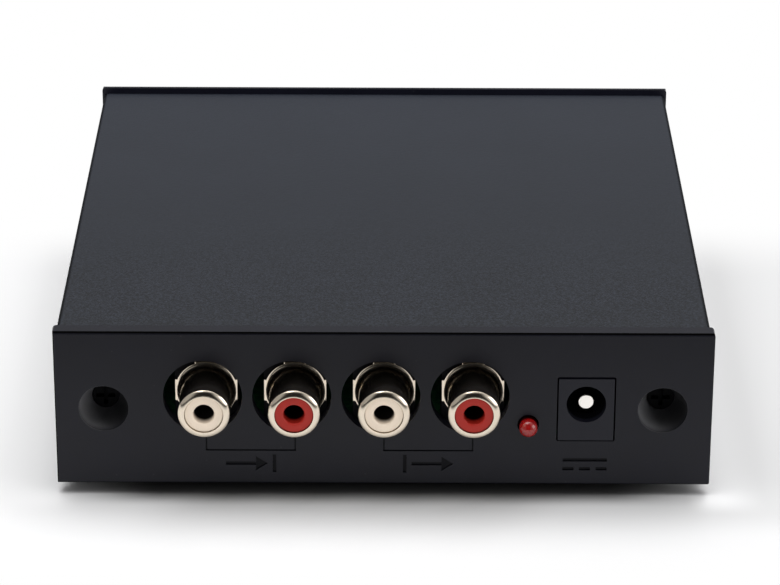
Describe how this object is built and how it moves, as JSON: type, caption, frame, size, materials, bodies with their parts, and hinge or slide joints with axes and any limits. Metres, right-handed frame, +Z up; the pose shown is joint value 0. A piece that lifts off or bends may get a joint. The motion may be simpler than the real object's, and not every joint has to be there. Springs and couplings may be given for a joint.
{
  "type": "phono preamp",
  "caption": "Small phono preamp in a powder-coated sleeve with black end panels; paired phono sockets, a red lamp and a power socket on one panel.",
  "frame": {"origin": "on the ground under the middle of the whole length, feet to socket mouths", "axes": "+Z up; +Y from the socket panel to the far panel; +X to the right when the sockets face the viewer"},
  "size_m": [0.1064, 0.1194, 0.0291],
  "materials": {
    "powder_coat": "fine-grained matt powder coat",
    "panel_black": "satin moulded",
    "screw_black": "black oxide",
    "foot_rubber": "matt",
    "board_green": "lacquered glass epoxy",
    "shell_nickel": "polished nickel",
    "insulator_ivory": "satin",
    "insulator_red": "satin",
    "contact_brass": "tinned",
    "housing_black": "satin moulded",
    "pin_nickel": "polished nickel",
    "leg_tin": "tinned",
    "lamp_red": "clear tinted epoxy",
    "can_blue": "shrink film",
    "can_black": "shrink film",
    "film_red": "dipped case",
    "chip_black": "moulded",
    "resistor_blue": "lacquer",
    "choke_grey": "ferrite"
  },
  "bodies": {
    "case": {"sleeve": "powder_coat", "connector_panel": "panel_black", "far_panel": "panel_black", "panel_screws": "screw_black", "foot_near_left": "foot_rubber", "foot_near_right": "foot_rubber", "foot_far_left": "foot_rubber", "foot_far_right": "foot_rubber", "circuit_board": "board_green", "shell_in_white": "shell_nickel", "shell_in_red": "shell_nickel", "shell_out_white": "shell_nickel", "shell_out_red": "shell_nickel", "insulator_in_white": "insulator_ivory", "insulator_in_red": "insulator_red", "insulator_out_white": "insulator_ivory", "insulator_out_red": "insulator_red", "contact_in_white": "contact_brass", "contact_in_red": "contact_brass", "contact_out_white": "contact_brass", "contact_out_red": "contact_brass", "housing_in_white": "housing_black", "housing_in_red": "housing_black", "housing_out_white": "housing_black", "housing_out_red": "housing_black", "dc_housing": "housing_black", "dc_pin": "pin_nickel", "dc_leaf_terminal": "leg_tin", "dc_switch_contact": "leg_tin", "lamp": "lamp_red", "lamp_legs": "leg_tin", "signal_cap_in_white": "can_blue", "signal_cap_in_red": "can_blue", "signal_cap_out_white": "can_blue", "signal_cap_out_red": "can_blue", "film_cap_in_white": "film_red", "film_cap_in_red": "film_red", "film_cap_out_white": "film_red", "film_cap_out_red": "film_red", "amplifier_chip_left": "chip_black", "amplifier_chip_right": "chip_black", "chip_legs_left": "leg_tin", "chip_legs_right": "leg_tin", "resistors": "resistor_blue", "diode": "chip_black", "supply_cap_raw": "can_black", "supply_cap_clean": "can_black", "supply_choke": "choke_grey", "regulator": "chip_black"},
    "dc_leaf": {"dc_spring_leaf": "pin_nickel"}
  },
  "joints": [
    {"name": "dc_leaf_flex", "type": "hinge", "parent": "case", "child": "dc_leaf", "pos_m": [0.03282, -0.0414, 0.0125], "axis": [1, 0, 0], "range_deg": [0, 4], "stiffness_Nm_per_rad": 0.1}
  ]
}
